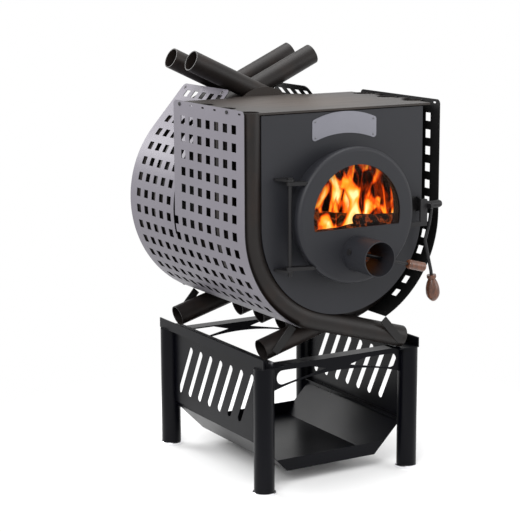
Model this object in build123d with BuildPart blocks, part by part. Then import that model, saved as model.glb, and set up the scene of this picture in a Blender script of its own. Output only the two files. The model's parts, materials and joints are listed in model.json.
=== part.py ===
"""Warm-air workshop stove of crossed convection tubes on its open steel stand.

Millimetres. X is to the viewer's right, Y to the rear, Z up. The origin is on the
floor under the middle of the stove's bounding box, and the door faces -Y.
"""
import os
from math import cos, radians, sin, sqrt, tan

from build123d import *

os.makedirs("parts", exist_ok=True)

# Clearances shared by the pieces that fit each other
seat_gap = 0.3
shaft_gap = 0.08

# Convection tubes and the round barrel that they form
tube_r = 31.75
tube_wall = 3.0
bend_r = 296.0
tube_pitch = 130.0
first_tube = 26.0
upright_count = 3
leg_slope = 16.0
horn_slope = 25.0
horn_reach = 232.0
long_leg_reach = 222.0
short_leg_reach = 79.0
plate_over_hood = 25.8

# Firebox sheets
sheet = 4.0
liner_sheet = 3.0
cook_sheet = 6.0
body_depth = 700.0
front_overhang = 4.0
plate_gap = 3.0
front_plate_gap = 1.0
plate_rear = 445.0
plate_tail_half = 120.0
infill_width = 148.0
infill_height = 26.0
baffle_drop = 30.0
baffle_length = 190.0
baffle_hole_r = 6.0
flue_r = 75.0
flue_wall = 2.0
flue_length = 80.0
flue_rise = 145.0

# Perforated side covers
cover_sheet = 2.0
cover_gap = 0.5
cover_rise = 7.0
cover_sweep = 64.0
cover_bend = 41.2
cover_run = 172.0
cover_corner_r = 14.0
hole_side = 25.0
hole_pitch = 50.0
hole_margin = 57.0
hole_columns = 13
front_columns = 7
upright_rows = 6
lower_rows = 6
upper_rows = 5
sloping_rows = 3
slit_width = 10.0
slit_floor = 15.0
slot_count = 6
slot_pitch = 70.0
slot_inset = 26.0
slot_length = 14.0
slot_height = 5.0
screw_slots_left = [1, 5]
screw_slots_right = [2, 4]
screw_r = 2.2
screw_head_r = 6.0
screw_head = 3.0
screw_depth = 12.0
lug_width = 20.0

# Door, window and air inlet
door_r = 195.0
door_rise = 24.0
door_sheet = 3.0
door_dish = 22.0
dish_round = 12.0
collar_r = 180.0
collar_wall = 5.0
collar_length = 60.0
seal_thickness = 7.5
seal_lap = 2.0
window_r = 146.0
window_sill = 34.0
glass_lap = 12.0
glass_thickness = 4.0
retainer_sheet = 2.0
retainer_lap = 8.0
post_r = 2.5
post_angles = [20, 70, 110, 160]
inlet_r = 51.0
inlet_wall = 3.0
inlet_length = 112.5
inlet_drop = 107.0

# Throttle inside the inlet
throttle_tilt = 15.0
throttle_offset = 36.0
throttle_clear = 2.0
throttle_sheet = 3.0
throttle_shaft_r = 4.0
throttle_collar_r = 8.0
throttle_collar = 5.0
throttle_reach = 154.0
throttle_knob_r = 13.5
throttle_knob_length = 61.0
throttle_knob_bore = 40.0
knob_round = 5.0

# Door hinge
pin_r = 6.0
pin_x = 205.0
pin_standoff = 40.0
pin_head_r = 9.0
pin_head = 4.0
pin_tail = 12.0
hinge_span = 249.0
hinge_drop = 16.0
arm_height = 10.0
eye_r = 12.0
arm_reach = 60.0
hinge_play = 1.0
bracket_sheet = 6.0
bracket_foot = 46.0
bracket_shift = 6.0

# Door latch
latch_x = 255.0
latch_standoff = 35.0
latch_rise = 5.0
latch_ear = 6.0
latch_ear_r = 13.0
latch_foot = 28.0
latch_foot_height = 44.0
latch_side_play = 0.5
latch_pin_r = 6.0
sleeve_r = 11.0
sleeve_length = 55.0
cam_reach = 30.0
cam_width = 14.0
cam_thickness = 8.0
rod_r = 5.0
rod_bend_r = 12.0
rod_points = [(-7.0, -54.0), (-22.0, -106.0), (2.0, -199.0)]
rod_tail = 40.0
knob_setback = 12.0
knob_lean = 7.0
latch_knob_r = 20.5
latch_neck_r = 11.0
latch_neck = 13.0
latch_rim_r = 14.0
latch_rim = 8.0
latch_knob_length = 80.0
tongue_thickness = 6.0
tongue_bar = 14.0
tongue_plate = 24.0
tongue_top = 26.0
tongue_drop = 46.0
tongue_clear = 1.0

# Badge without lettering
badge_width = 216.0
badge_height = 62.0
badge_crown = 22.0
badge_sheet = 1.5
badge_corner_r = 9.0
badge_drop = 9.0

# Braces between the long legs and the covers
brace_width = 24.0
brace_sheet = 4.0
brace_inset = 16.0

# Stand
leg_r = 30.0
leg_wall = 2.5
leg_cap = 4.0
leg_spacing_x = 500.0
leg_length = 366.0
foot_height = 10.0
foot_r = 35.0
foot_plug = 24.0
cross_depth = 73.0
cross_waist = 40.0
cross_sheet = 3.0
cross_flange = 44.0
cutout_margin = 12.0
cutout_point = 40.0
cutout_flat = 95.0
cutout_round = 20.0
panel_sheet = 2.0
panel_height = 228.0
panel_slots = 7
panel_slot_pitch = 62.0
panel_slot_width = 20.0
panel_slot_length = 178.0
panel_slot_lean = 28.0
panel_lip = 18.0
rail_length = 640.0
rail_flange = 70.0
rail_lip = 30.0
rail_sheet = 4.0
rail_edge = 270.0
tray_sheet = 2.0
tray_floor_z = 45.0
tray_floor_half = 153.5
tray_run = 90.0
tray_lip = 38.0
bolt_r = 4.0
bolt_gap = 0.5
bolt_head_r = 7.5
bolt_head = 4.0
bolt_inset = 14.0

# Heights worked out from the sizes above
leg_spacing_y = rail_length - 2 * leg_r
leg_top = foot_height + leg_length
rail_top = leg_top + rail_sheet
tangent_x = bend_r * sin(radians(leg_slope))
tangent_drop = bend_r * cos(radians(leg_slope))
leg_fall = (tangent_x + long_leg_reach) * tan(radians(leg_slope))
barrel_z = rail_top + seat_gap + tangent_drop + leg_fall + tube_r * cos(radians(leg_slope))
shell_r = bend_r - tube_r - seat_gap
shell_inner = shell_r - liner_sheet
hood_start = 90 - horn_slope
hood_half = shell_r * cos(radians(hood_start))
ridge_rise = shell_r * sin(radians(hood_start)) + hood_half * tan(radians(horn_slope))
plate_under_z = barrel_z + ridge_rise + plate_over_hood
plate_top_z = plate_under_z + cook_sheet
door_z = barrel_z + door_rise
inlet_z = door_z - inlet_drop
flue_z = barrel_z + flue_rise

# Depths worked out so that the whole object is centred front to back
door_reach = collar_length + seat_gap + seal_thickness + door_sheet
front_reach = door_reach + inlet_length
face_y = (front_reach - body_depth - flue_length) / 2
back_y = face_y + body_depth
plate_rear_y = face_y + plate_rear
door_face_y = face_y - door_reach
door_inner_y = door_face_y + door_sheet
door_rim_y = door_face_y + door_dish
left_y = [face_y + first_tube + tube_pitch * n for n in [0, 1, 2, 4, 5]]
right_y = [face_y + first_tube + tube_pitch * (n + 0.5) for n in range(5)]
long_left = [0, 3]
long_right = [0, 4]
stand_y = (left_y[0] + right_y[-1]) / 2
cover_front_y = left_y[0] - tube_r - seat_gap
column_y = [cover_front_y + hole_margin + n * hole_pitch for n in range(hole_columns)]
slit_y = column_y[front_columns] + hole_side / 2
hood_y = slit_y - slit_width / 2 + sheet
slot_y = [cover_front_y + slot_inset + n * slot_pitch for n in range(slot_count)]
slot_z = plate_top_z - cook_sheet / 2
screw_y_left = [slot_y[n] for n in screw_slots_left]
screw_y_right = [slot_y[n] for n in screw_slots_right]

# Radii worked out from the tubes
cover_inner = bend_r + tube_r + cover_gap
cover_outer = cover_inner + cover_sheet


def save(piece, name):
    """Label a finished sub-part and write it to its own file."""
    piece.part.label = name
    export_step(piece.part, f"parts/{name}.step")


def upright_plane(y):
    """A plane facing the viewer at depth y, with its own y axis pointing up."""
    return Plane(origin=(0, y, 0), x_dir=(1, 0, 0), z_dir=(0, -1, 0))


def side_plane(x):
    """A plane facing the right-hand side at x, with Y across and Z up."""
    return Plane(origin=(x, 0, 0), x_dir=(0, 1, 0), z_dir=(1, 0, 0))


def make_tube(name, side, y, crossing, reach):
    """One bent tube. side is -1 for the tubes on the left and 1 on the right."""
    start = 90 - horn_slope if crossing else 0
    first = start if side > 0 else 180 - start
    arc_x = side * bend_r * cos(radians(start))
    arc_z = barrel_z + bend_r * sin(radians(start))
    horn_rise = (horn_reach + abs(arc_x)) * tan(radians(horn_slope))
    foot_run = tangent_x + reach
    foot = (-side * reach, barrel_z - tangent_drop - foot_run * tan(radians(leg_slope)))
    with BuildPart() as tube:
        with BuildLine(upright_plane(y)) as path:
            if crossing:
                Line((-side * horn_reach, arc_z + horn_rise), (arc_x, arc_z))
            else:
                Line((side * bend_r, plate_top_z), (side * bend_r, barrel_z))
            CenterArc((0, barrel_z), bend_r, first, -side * (start + 90 - leg_slope))
            Line((side * tangent_x, barrel_z - tangent_drop), foot)
        wire = path.wires()[0]
        with BuildSketch(Plane(origin=wire @ 0, z_dir=wire % 0)):
            Circle(tube_r)
            Circle(tube_r - tube_wall, mode=Mode.SUBTRACT)
        sweep(path=wire)
    save(tube, name)


for number, y in enumerate(left_y):
    reach = long_leg_reach if number in long_left else short_leg_reach
    make_tube(f"tube_left_{number + 1}", -1, y, number >= upright_count, reach)
for number, y in enumerate(right_y):
    reach = long_leg_reach if number in long_right else short_leg_reach
    make_tube(f"tube_right_{number + 1}", 1, y, number >= upright_count, reach)


def draw_trough(radius, top):
    """Closed outline with a flat top, upright sides and a round bottom."""
    Line((-radius, top), (-radius, barrel_z))
    CenterArc((0, barrel_z), radius, 180, 180)
    Line((radius, barrel_z), (radius, top))
    Line((radius, top), (-radius, top))


def draw_hood(radius):
    """Closed outline of the rear barrel: a round with a low ridge on top."""
    start = 90 - horn_slope
    half = radius * cos(radians(start))
    shoulder = barrel_z + radius * sin(radians(start))
    ridge = shoulder + half * tan(radians(horn_slope))
    CenterArc((0, barrel_z), radius, start, -(180 + 2 * start))
    Line((-half, shoulder), (0, ridge))
    Line((0, ridge), (half, shoulder))


# Firebox shell: a round-bottomed trough inside the tubes, under the cook plate
with BuildPart() as shell:
    with BuildSketch(upright_plane(face_y + sheet)):
        with BuildLine():
            draw_trough(shell_r, plate_under_z)
        make_face()
        with BuildLine():
            draw_trough(shell_inner, plate_under_z)
        make_face(mode=Mode.SUBTRACT)
    extrude(amount=-(hood_y - face_y - 2 * sheet))
save(shell, "firebox_shell")

# Hood: the closed rear barrel under the crossing tubes
with BuildPart() as hood:
    with BuildSketch(upright_plane(hood_y)):
        with BuildLine():
            draw_hood(shell_r)
        make_face()
        with BuildLine():
            draw_hood(shell_inner)
        make_face(mode=Mode.SUBTRACT)
    extrude(amount=-(back_y - sheet - hood_y))
save(hood, "firebox_hood")

# Bulkhead that closes the step between the shell and the lower hood
with BuildPart() as bulkhead:
    with BuildSketch(upright_plane(hood_y - sheet)):
        with BuildLine():
            draw_trough(shell_r, plate_under_z)
        make_face()
        with BuildLine():
            draw_hood(shell_inner)
        make_face(mode=Mode.SUBTRACT)
    extrude(amount=-sheet)
save(bulkhead, "hood_bulkhead")

# Cook plate with a notch at each upright tube, a lug at each cover screw and a narrow tail
plate_front_y = face_y - front_overhang
plate_length = hood_y - plate_front_y
lug_length = cover_inner - seat_gap - bend_r
with BuildPart() as cook_plate:
    with BuildSketch(Plane.XY.offset(plate_under_z)):
        with Locations((0, plate_front_y + plate_length / 2)):
            Rectangle(2 * bend_r, plate_length)
        with Locations((0, (hood_y + plate_rear_y) / 2)):
            Rectangle(2 * plate_tail_half, plate_rear_y - hood_y)
        with Locations(*[(-bend_r - lug_length / 2, y) for y in screw_y_left]):
            Rectangle(lug_length, lug_width)
        with Locations(*[(bend_r + lug_length / 2, y) for y in screw_y_right]):
            Rectangle(lug_length, lug_width)
        with Locations(*[(-bend_r, y) for y in left_y[:upright_count]]):
            Circle(tube_r + seat_gap, mode=Mode.SUBTRACT)
        with Locations(*[(bend_r, y) for y in right_y[:upright_count]]):
            Circle(tube_r + seat_gap, mode=Mode.SUBTRACT)
    extrude(amount=cook_sheet)
    with BuildSketch(side_plane(-cover_inner)):
        with Locations(*[(y, slot_z) for y in screw_y_left]):
            Circle(screw_r + shaft_gap)
    extrude(amount=screw_depth + cover_gap, mode=Mode.SUBTRACT)
    with BuildSketch(side_plane(cover_inner)):
        with Locations(*[(y, slot_z) for y in screw_y_right]):
            Circle(screw_r + shaft_gap)
    extrude(amount=-(screw_depth + cover_gap), mode=Mode.SUBTRACT)
save(cook_plate, "cook_plate")

# Lens-shaped piece that stands behind the cook plate, against the first crossing tube
half_lens = infill_width / 2
with BuildPart() as infill:
    with BuildSketch(upright_plane(plate_rear_y)):
        with BuildLine():
            crown = (0, plate_top_z + infill_height)
            Line((-half_lens, plate_top_z), (-half_lens, plate_under_z))
            Line((-half_lens, plate_under_z), (half_lens, plate_under_z))
            Line((half_lens, plate_under_z), (half_lens, plate_top_z))
            ThreePointArc((half_lens, plate_top_z), crown, (-half_lens, plate_top_z))
        make_face()
    extrude(amount=-(sheet - seat_gap))
save(infill, "cook_plate_infill")

# Front plate, narrowed so that it clears the first tube
tube_bite = sqrt(tube_r ** 2 - (first_tube - sheet) ** 2)
front_half = bend_r - tube_bite - front_plate_gap
with BuildPart() as front_plate:
    with BuildSketch(upright_plane(face_y + sheet)):
        with BuildLine():
            draw_trough(front_half, plate_under_z - plate_gap)
        make_face()
        with Locations((0, door_z)):
            Circle(collar_r - collar_wall, mode=Mode.SUBTRACT)
    extrude(amount=sheet)
save(front_plate, "front_plate")

# Badge with an arched top, left bare
badge_z = plate_top_z - badge_drop
with BuildPart() as badge:
    with BuildSketch(upright_plane(face_y)) as badge_sketch:
        with BuildLine():
            left = -badge_width / 2
            low_z = badge_z - badge_height - badge_crown
            side_z = badge_z - badge_crown
            Line((left, side_z), (left, low_z))
            ThreePointArc((left, low_z), (0, low_z + badge_crown), (-left, low_z))
            Line((-left, low_z), (-left, side_z))
            ThreePointArc((-left, side_z), (0, badge_z), (left, side_z))
        make_face()
        fillet(badge_sketch.vertices(), badge_corner_r)
    extrude(amount=badge_sheet)
save(badge, "badge_plate")

# Round collar that the door shuts over
with BuildPart() as collar:
    with BuildSketch(upright_plane(face_y)):
        with Locations((0, door_z)):
            Circle(collar_r)
            Circle(collar_r - collar_wall, mode=Mode.SUBTRACT)
    extrude(amount=collar_length)
save(collar, "door_collar")

# Rear plate with the flue hole
with BuildPart() as rear_plate:
    with BuildSketch(upright_plane(back_y)):
        with BuildLine():
            draw_hood(shell_r)
        make_face()
        with Locations((0, flue_z)):
            Circle(flue_r - flue_wall, mode=Mode.SUBTRACT)
    extrude(amount=sheet)
save(rear_plate, "rear_plate")

# Flue spigot, open right through
with BuildPart() as spigot:
    with BuildSketch(upright_plane(back_y + flue_length)):
        with Locations((0, flue_z)):
            Circle(flue_r)
            Circle(flue_r - flue_wall, mode=Mode.SUBTRACT)
    extrude(amount=flue_length)
save(spigot, "flue_spigot")

# Baffle that parts the fire from the upper chamber in front of the flue
baffle_rise = flue_rise - flue_r - baffle_drop
baffle_half = sqrt((shell_inner - seat_gap) ** 2 - baffle_rise ** 2)
with BuildPart() as baffle:
    with BuildSketch(Plane.XY.offset(barrel_z + baffle_rise)):
        with Locations((0, back_y - sheet - seat_gap - baffle_length / 2)):
            Rectangle(2 * baffle_half, baffle_length)
            with GridLocations(baffle_half / 4, baffle_length / 4, 7, 3):
                Circle(baffle_hole_r, mode=Mode.SUBTRACT)
    extrude(amount=-sheet)
save(baffle, "baffle_plate")


def make_cover(name, side):
    """A perforated cover: upright front tab, round lower part and bent rear tab."""
    depth = 2 * hole_margin + (hole_columns - 1) * hole_pitch
    rear_y = cover_front_y + depth
    top = plate_top_z + cover_rise
    low_x = cos(radians(180 + cover_sweep))
    low_z = sin(radians(180 + cover_sweep))
    bend_x = -cos(radians(cover_bend))
    bend_z = sin(radians(cover_bend))
    run_x = cover_run * bend_z
    run_z = -cover_run * bend_x
    with BuildPart() as cover:
        with BuildSketch(upright_plane(cover_front_y)):
            with BuildLine():
                Line((-cover_outer, top), (-cover_outer, barrel_z))
                CenterArc((0, barrel_z), cover_outer, 180, cover_sweep)
                low_out = (cover_outer * low_x, barrel_z + cover_outer * low_z)
                low_in = (cover_inner * low_x, barrel_z + cover_inner * low_z)
                Line(low_out, low_in)
                CenterArc((0, barrel_z), cover_inner, 180 + cover_sweep, -cover_sweep)
                Line((-cover_inner, barrel_z), (-cover_inner, top))
                Line((-cover_inner, top), (-cover_outer, top))
            make_face()
        extrude(amount=-(slit_y - cover_front_y))
        with BuildSketch(upright_plane(slit_y)):
            with BuildLine():
                sweep_all = cover_bend + cover_sweep
                CenterArc((0, barrel_z), cover_outer, 180 - cover_bend, sweep_all)
                Line(low_out, low_in)
                CenterArc((0, barrel_z), cover_inner, 180 + cover_sweep, -sweep_all)
                bend_in = (cover_inner * bend_x, barrel_z + cover_inner * bend_z)
                bend_out = (cover_outer * bend_x, barrel_z + cover_outer * bend_z)
                tip_in = (bend_in[0] + run_x, bend_in[1] + run_z)
                tip_out = (bend_out[0] + run_x, bend_out[1] + run_z)
                Line(bend_in, tip_in)
                Line(tip_in, tip_out)
                Line(tip_out, bend_out)
            make_face()
        extrude(amount=-(rear_y - slit_y))
        with BuildSketch(side_plane(-cover_outer - 1)):
            with Locations((slit_y, (top + barrel_z + slit_floor) / 2)):
                Rectangle(slit_width, top - barrel_z - slit_floor + cover_run)
        extrude(amount=cover_outer, mode=Mode.SUBTRACT)
        short_edges = [e for e in cover.edges() if abs(e.length - cover_sheet) < 0.01]
        tab_corners = [e for e in short_edges if e.center().Z > top - 1]
        hood_corners = [e for e in short_edges if abs(e.center().Z - tip_out[1]) < 3]
        fillet(tab_corners + hood_corners, cover_corner_r)
        with BuildSketch(side_plane(-cover_outer - 1)):
            row_z = [barrel_z + (n + 0.5) * hole_pitch for n in range(upright_rows)]
            with Locations(*[(y, z) for y in column_y[:front_columns] for z in row_z]):
                Rectangle(hole_side, hole_side)
            with Locations(*[(y, slot_z) for y in slot_y]):
                SlotOverall(slot_length, slot_height)
        extrude(amount=cover_sheet + 2, mode=Mode.SUBTRACT)
        turns = [(-(n + 0.5), column_y) for n in range(lower_rows)]
        turns += [(n + 0.5, column_y[front_columns + 1:]) for n in range(upper_rows)]
        for turn, columns in turns:
            angle = turn * hole_pitch / cover_outer
            out_dir = (-cos(angle), 0, sin(angle))
            centre = (out_dir[0] * (cover_outer + 1), 0, barrel_z + out_dir[2] * (cover_outer + 1))
            with BuildSketch(Plane(origin=centre, x_dir=(0, 1, 0), z_dir=out_dir)):
                with Locations(*[(y, 0) for y in columns]):
                    Rectangle(hole_side, hole_side)
            extrude(amount=-(cover_sheet + 2), mode=Mode.SUBTRACT)
        arc_length = cover_outer * radians(cover_bend)
        for n in range(sloping_rows):
            run = (upper_rows + n + 0.5) * hole_pitch - arc_length
            on_x = bend_out[0] + run * bend_z
            on_z = bend_out[1] - run * bend_x
            with BuildSketch(Plane((on_x + bend_x, 0, on_z + bend_z), (0, 1, 0), (bend_x, 0, bend_z))):
                with Locations(*[(y, 0) for y in column_y[front_columns + 1:]]):
                    Rectangle(hole_side, hole_side)
            extrude(amount=-(cover_sheet + 2), mode=Mode.SUBTRACT)
        if side > 0:
            mirror(about=Plane.YZ, mode=Mode.REPLACE)
    save(cover, name)


make_cover("cover_left", -1)
make_cover("cover_right", 1)

# Screws that hold the covers to the lugs of the cook plate
with BuildPart() as screws:
    for side, depths in [(-1, screw_y_left), (1, screw_y_right)]:
        seat = Plane(origin=(side * cover_outer, 0, slot_z), x_dir=(0, side, 0), z_dir=(side, 0, 0))
        with BuildSketch(seat):
            with Locations(*[(side * y, 0) for y in depths]):
                Circle(screw_r)
        extrude(amount=-(screw_depth + cover_sheet))
        with BuildSketch(seat):
            with Locations(*[(side * y, 0) for y in depths]):
                Circle(screw_head_r)
        extrude(amount=screw_head, taper=20)
save(screws, "cover_screws")

# Flat braces from the long legs to the lower edges of the covers
corner_x = cover_outer * cos(radians(cover_sweep))
corner_z = barrel_z - cover_outer * sin(radians(cover_sweep))
brace_x = long_leg_reach - brace_inset
brace_z = barrel_z - tangent_drop - (tangent_x + brace_x) * tan(radians(leg_slope))
fall = sqrt((brace_x - corner_x) ** 2 + (brace_z - corner_z) ** 2)
across_x = (brace_z - corner_z) / fall
across_z = -(brace_x - corner_x) / fall
brace_half = brace_width / 2
with BuildPart() as braces:
    posts = [(1, left_y[0] - tube_r), (-1, right_y[0] - tube_r)]
    posts += [(1, left_y[3] + tube_r + brace_sheet), (-1, right_y[4] + tube_r + brace_sheet)]
    for side, y in posts:
        with BuildSketch(upright_plane(y)):
            with BuildLine():
                near = corner_x + across_x * seat_gap
                near_z = corner_z + across_z * seat_gap
                Polyline(
                    (side * near, near_z),
                    (side * brace_x, brace_z),
                    (side * (brace_x + across_x * brace_width), brace_z + across_z * brace_width),
                    (side * (near + across_x * brace_width), near_z + across_z * brace_width),
                    close=True,
                )
            make_face()
        extrude(amount=brace_sheet)
save(braces, "foot_braces")

# Dished door with the window and the inlet hole
door_axis = Axis((0, 0, door_z), (0, 1, 0))
flat_r = door_r - dish_round
inner_round = dish_round - door_sheet
with BuildPart() as door:
    with BuildSketch(Plane.XY.offset(door_z)):
        with BuildLine():
            round_y = door_face_y + dish_round
            Line((0, door_face_y), (flat_r, door_face_y))
            CenterArc((flat_r, round_y), dish_round, 270, 90)
            Line((door_r, round_y), (door_r, door_rim_y))
            Line((door_r, door_rim_y), (door_r - door_sheet, door_rim_y))
            Line((door_r - door_sheet, door_rim_y), (door_r - door_sheet, round_y))
            CenterArc((flat_r, round_y), inner_round, 0, -90)
            Line((flat_r, door_inner_y), (0, door_inner_y))
            Line((0, door_inner_y), (0, door_face_y))
        make_face()
    revolve(axis=door_axis)
    with BuildSketch(upright_plane(door_inner_y)):
        with Locations((0, door_z)):
            Circle(window_r)
        with Locations((0, door_z - window_sill - window_r)):
            Rectangle(2 * window_r, 2 * window_r, mode=Mode.SUBTRACT)
        with Locations((0, inlet_z)):
            Circle(inlet_r - inlet_wall)
    extrude(amount=door_sheet, mode=Mode.SUBTRACT)
save(door, "door_disc")

# Window glass behind the door sheet
glass_y = door_inner_y + seat_gap
glass_r = window_r + glass_lap
glass_sill = window_sill + glass_lap
with BuildPart() as glass:
    with BuildSketch(upright_plane(glass_y + glass_thickness)):
        with Locations((0, door_z)):
            Circle(glass_r)
        with Locations((0, door_z - glass_sill - glass_r)):
            Rectangle(2 * glass_r, 2 * glass_r, mode=Mode.SUBTRACT)
    extrude(amount=glass_thickness)
save(glass, "window_glass")

# Frame that holds the glass, on short posts
retainer_y = glass_y + glass_thickness + seat_gap
frame_r = glass_r + retainer_lap
with BuildPart() as retainer:
    with BuildSketch(upright_plane(retainer_y + retainer_sheet)):
        with Locations((0, door_z)):
            Circle(frame_r)
        with Locations((0, door_z - glass_sill - frame_r)):
            Rectangle(2 * frame_r, 2 * frame_r, mode=Mode.SUBTRACT)
        with BuildSketch(mode=Mode.SUBTRACT):
            with Locations((0, door_z)):
                Circle(window_r)
            with Locations((0, door_z - window_sill - window_r)):
                Rectangle(2 * window_r, 2 * window_r, mode=Mode.SUBTRACT)
    extrude(amount=retainer_sheet)
    with BuildSketch(upright_plane(retainer_y)):
        with Locations((0, door_z)):
            for angle in post_angles:
                with PolarLocations(glass_r + retainer_lap / 2, 1, angle):
                    Circle(post_r)
    extrude(amount=retainer_y - door_inner_y)
save(retainer, "glass_retainer")

# Seal ring on the inside of the door, facing the edge of the collar
with BuildPart() as seal:
    with BuildSketch(upright_plane(door_inner_y + seal_thickness)):
        with Locations((0, door_z)):
            Circle(collar_r + seal_lap)
            Circle(collar_r - collar_wall - seal_lap, mode=Mode.SUBTRACT)
    extrude(amount=seal_thickness)
save(seal, "door_seal")

# Air inlet pipe with a pair of holes for the tilted throttle shaft
tilt = radians(throttle_tilt)
along = (cos(tilt), 0, -sin(tilt))
across = (sin(tilt), 0, cos(tilt))
throttle_y = door_face_y - throttle_offset


def shaft_plane(distance):
    """A plane square to the throttle shaft at a distance from its middle."""
    origin = (along[0] * distance, throttle_y, inlet_z + along[2] * distance)
    return Plane(origin=origin, x_dir=(0, 1, 0), z_dir=along)


with BuildPart() as inlet:
    with BuildSketch(upright_plane(door_face_y)):
        with Locations((0, inlet_z)):
            Circle(inlet_r)
            Circle(inlet_r - inlet_wall, mode=Mode.SUBTRACT)
    extrude(amount=inlet_length)
    with BuildSketch(shaft_plane(-inlet_r - 1)):
        Circle(throttle_shaft_r + shaft_gap)
    extrude(amount=2 * inlet_r + 2, mode=Mode.SUBTRACT)
save(inlet, "inlet_pipe")

# Throttle plate fixed on top of its shaft, drawn fully open
disc_r = inlet_r - inlet_wall - throttle_clear
with BuildPart() as throttle_disc:
    with BuildSketch(Plane((0, throttle_y, inlet_z), along, across).offset(throttle_shaft_r)):
        Circle(disc_r)
    extrude(amount=throttle_sheet)
save(throttle_disc, "throttle_disc")

# Throttle shaft with a collar on each side of the pipe
shaft_start = inlet_r + 1
with BuildPart() as throttle_shaft:
    with BuildSketch(shaft_plane(-shaft_start - throttle_collar)):
        Circle(throttle_shaft_r)
    extrude(amount=shaft_start + throttle_collar + throttle_reach + throttle_knob_bore)
    for distance in [-shaft_start - throttle_collar, shaft_start]:
        with BuildSketch(shaft_plane(distance)):
            Circle(throttle_collar_r)
        extrude(amount=throttle_collar)
save(throttle_shaft, "throttle_shaft")

# Wooden throttle knob
with BuildPart() as throttle_knob:
    with BuildSketch(shaft_plane(throttle_reach)):
        Circle(throttle_knob_r)
    extrude(amount=throttle_knob_length)
    fillet(throttle_knob.edges(), knob_round)
    with BuildSketch(shaft_plane(throttle_reach)):
        Circle(throttle_shaft_r)
    extrude(amount=throttle_knob_bore, mode=Mode.SUBTRACT)
save(throttle_knob, "throttle_knob")

# Hinge: two arms on the door turn on a fixed pin between two brackets on the front plate
pin_y = face_y - pin_standoff
pin_hole_r = pin_r + shaft_gap
hinge_mid = door_z - hinge_drop
arm_low_z = hinge_mid - hinge_span / 2
arm_high_z = hinge_mid + hinge_span / 2 - arm_height
bracket_low_z = arm_low_z - seat_gap - bracket_sheet
bracket_high_z = arm_high_z + arm_height + hinge_play
for name, z in [("hinge_arm_lower", arm_low_z), ("hinge_arm_upper", arm_high_z)]:
    with BuildPart() as arm:
        with BuildSketch(Plane.XY.offset(z)):
            with Locations((-pin_x, pin_y)):
                Circle(eye_r)
            with Locations((-pin_x + arm_reach, (door_face_y + door_rim_y) / 2)):
                Circle(door_dish / 2)
            make_hull()
            with Locations((-pin_x, pin_y)):
                Circle(pin_hole_r, mode=Mode.SUBTRACT)
        extrude(amount=arm_height)
        with BuildSketch(upright_plane(face_y)):
            with Locations((0, door_z)):
                Circle(door_r)
        extrude(amount=front_reach, mode=Mode.SUBTRACT)
    save(arm, name)
for name, z in [("hinge_bracket_lower", bracket_low_z), ("hinge_bracket_upper", bracket_high_z)]:
    with BuildPart() as bracket:
        with BuildSketch(Plane.XY.offset(z)):
            with Locations((-pin_x, pin_y)):
                Circle(eye_r)
            with Locations((-pin_x - bracket_shift, face_y - bracket_sheet / 2)):
                Rectangle(bracket_foot, bracket_sheet)
            make_hull()
            with Locations((-pin_x, pin_y)):
                Circle(pin_hole_r, mode=Mode.SUBTRACT)
        extrude(amount=bracket_sheet)
    save(bracket, name)
with BuildPart() as hinge_pin:
    with BuildSketch(Plane.XY.offset(bracket_low_z - pin_tail)):
        with Locations((-pin_x, pin_y)):
            Circle(pin_r)
    extrude(amount=pin_tail + bracket_high_z + bracket_sheet - bracket_low_z)
    with BuildSketch(Plane.XY.offset(bracket_high_z + bracket_sheet)):
        with Locations((-pin_x, pin_y)):
            Circle(pin_head_r)
    extrude(amount=pin_head)
save(hinge_pin, "hinge_pin")

# Latch bracket: an ear on the front plate that carries a headed pin
latch_y = face_y - latch_standoff
latch_z = door_z + latch_rise
sleeve_x = latch_x + latch_side_play
sleeve_end = sleeve_x + sleeve_length + latch_side_play
with BuildPart() as latch_bracket:
    with BuildSketch(side_plane(latch_x - latch_ear)):
        with Locations((latch_y, latch_z)):
            Circle(latch_ear_r)
        with Locations((face_y - latch_ear / 2, latch_z)):
            Rectangle(latch_ear, latch_foot_height)
        make_hull()
    extrude(amount=latch_ear)
    with BuildSketch(upright_plane(face_y)):
        with Locations((latch_x - latch_foot / 2, latch_z)):
            Rectangle(latch_foot, latch_foot_height)
    extrude(amount=latch_ear)
    with BuildSketch(side_plane(latch_x)):
        with Locations((latch_y, latch_z)):
            Circle(latch_pin_r)
    extrude(amount=sleeve_end - latch_x)
    with BuildSketch(side_plane(sleeve_end)):
        with Locations((latch_y, latch_z)):
            Circle(pin_head_r)
    extrude(amount=pin_head)
save(latch_bracket, "latch_bracket")

# Latch sleeve with its cam
with BuildPart() as sleeve:
    with BuildSketch(side_plane(sleeve_x)):
        with Locations((latch_y, latch_z)):
            Circle(sleeve_r)
    extrude(amount=sleeve_length)
    with BuildSketch(side_plane(sleeve_x)):
        with Locations((latch_y - cam_reach / 2, latch_z)):
            SlotOverall(cam_reach + cam_width, cam_width)
    extrude(amount=cam_thickness)
    with BuildSketch(side_plane(sleeve_x)):
        with Locations((latch_y, latch_z)):
            Circle(latch_pin_r + shaft_gap)
    extrude(amount=sleeve_length, mode=Mode.SUBTRACT)
save(sleeve, "latch_sleeve")

# Bent latch rod and its wooden knob
rod_x = sleeve_x + sleeve_length / 2
bends = [(rod_x + x, latch_z + z) for x, z in rod_points]
rod_top = (rod_x, latch_z - sleeve_r + 1)
lean = radians(knob_lean)
tail = (bends[2][0] + rod_tail * sin(lean), bends[2][1] - rod_tail * cos(lean))
with BuildPart() as rod:
    with BuildLine(upright_plane(latch_y)) as path:
        FilletPolyline(rod_top, *bends, tail, radius=rod_bend_r)
    wire = path.wires()[0]
    with BuildSketch(Plane(origin=wire @ 0, z_dir=wire % 0)):
        Circle(rod_r)
    sweep(path=wire)
    with BuildSketch(side_plane(sleeve_x)):
        with Locations((latch_y, latch_z)):
            Circle(sleeve_r)
    extrude(amount=sleeve_length, mode=Mode.SUBTRACT)
save(rod, "latch_rod")

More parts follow.
